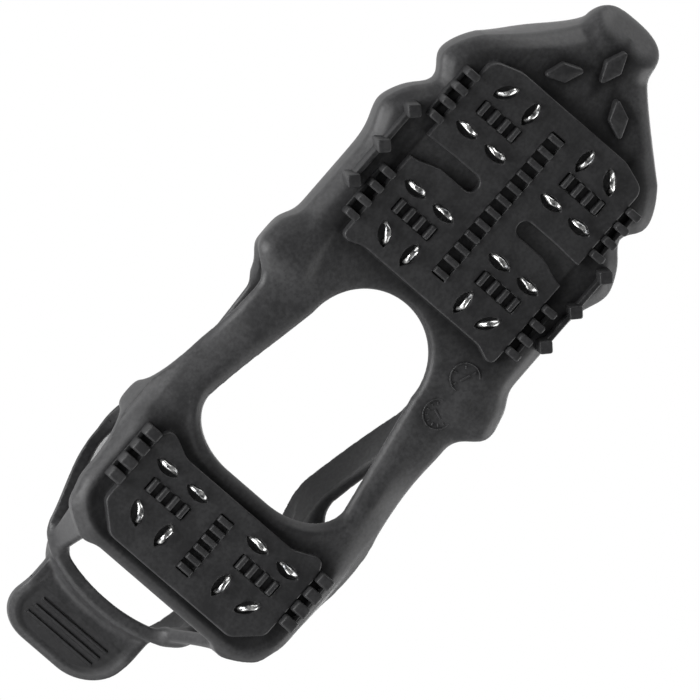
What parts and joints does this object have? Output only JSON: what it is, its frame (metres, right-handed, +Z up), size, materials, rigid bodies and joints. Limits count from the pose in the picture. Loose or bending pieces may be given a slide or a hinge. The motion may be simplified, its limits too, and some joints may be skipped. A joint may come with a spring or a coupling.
{
  "type": "pull-on ice crampon",
  "caption": "Pull-on rubber overshoe for icy ground: toe cap, open waist, sprung heel strap with pull tab, and tread plates set with steel wire staples.",
  "frame": {"origin": "under the middle of the overall length, on the ground that the staples stand on", "axes": "+X towards the toe, +Y to the wearer's left, +Z up through the boot opening"},
  "size_m": [0.2468, 0.0882, 0.0578],
  "materials": {
    "carcass_rubber": "moulded natural rubber, satin with a faint bloom",
    "tread_rubber": "harder moulded rubber, finely textured",
    "staple_steel": "drawn wire, worn bright on the crowns"
  },
  "bodies": {
    "forefoot": {"forefoot_web": "carcass_rubber", "toe_cap": "carcass_rubber", "ball_wall_left": "carcass_rubber", "ball_wall_right": "carcass_rubber", "rim_link_left": "carcass_rubber", "rim_link_right": "carcass_rubber", "forefoot_plate": "tread_rubber", "rear_ribs": "tread_rubber", "front_ribs": "tread_rubber", "forefoot_bars": "tread_rubber", "toe_lugs": "carcass_rubber", "stud_rail_left": "carcass_rubber", "stud_rail_right": "carcass_rubber", "rear_left_lugs": "carcass_rubber", "rear_right_lugs": "carcass_rubber", "front_left_lugs": "carcass_rubber", "front_right_lugs": "carcass_rubber", "rear_left_staple_1": "staple_steel", "rear_left_staple_2": "staple_steel", "rear_left_staple_3": "staple_steel", "rear_left_staple_4": "staple_steel", "rear_right_staple_1": "staple_steel", "rear_right_staple_2": "staple_steel", "rear_right_staple_3": "staple_steel", "rear_right_staple_4": "staple_steel", "front_left_staple_1": "staple_steel", "front_left_staple_2": "staple_steel", "front_left_staple_3": "staple_steel", "front_left_staple_4": "staple_steel", "front_right_staple_1": "staple_steel", "front_right_staple_2": "staple_steel", "front_right_staple_3": "staple_steel", "front_right_staple_4": "staple_steel"},
    "heel": {"arm_left": "carcass_rubber", "arm_right": "carcass_rubber", "heel_web": "carcass_rubber", "side_band_left": "carcass_rubber", "side_band_right": "carcass_rubber", "side_strap_left": "carcass_rubber", "side_strap_right": "carcass_rubber", "heel_plate": "tread_rubber", "heel_ribs": "tread_rubber", "heel_bars": "tread_rubber", "heel_left_lugs": "carcass_rubber", "heel_right_lugs": "carcass_rubber", "heel_left_staple_1": "staple_steel", "heel_left_staple_2": "staple_steel", "heel_left_staple_3": "staple_steel", "heel_left_staple_4": "staple_steel", "heel_right_staple_1": "staple_steel", "heel_right_staple_2": "staple_steel", "heel_right_staple_3": "staple_steel", "heel_right_staple_4": "staple_steel"},
    "heel_strap": {"heel_bow": "carcass_rubber", "back_strut_left": "carcass_rubber", "back_strut_right": "carcass_rubber"},
    "pull_tab": {"pull_tab": "carcass_rubber"}
  },
  "joints": [
    {"name": "waist_flex", "type": "hinge", "parent": "forefoot", "child": "heel", "pos_m": [-0.0066, 0, 0.008], "axis": [0, 1, 0], "range_deg": [-15, 35], "stiffness_Nm_per_rad": 0.25, "deforming": ["rim_link_left", "rim_link_right"]},
    {"name": "strap_pull", "type": "hinge", "parent": "heel", "child": "heel_strap", "pos_m": [-0.0861, 0, 0.0168], "axis": [0, -1, 0], "range_deg": [-10, 45], "stiffness_Nm_per_rad": 0.3, "deforming": ["side_strap_left", "side_strap_right"]},
    {"name": "tab_flip", "type": "hinge", "parent": "heel_strap", "child": "pull_tab", "pos_m": [-0.1082, 0, 0.0465], "axis": [0, 1, 0], "range_deg": [-70, 50], "stiffness_Nm_per_rad": 0.05}
  ]
}
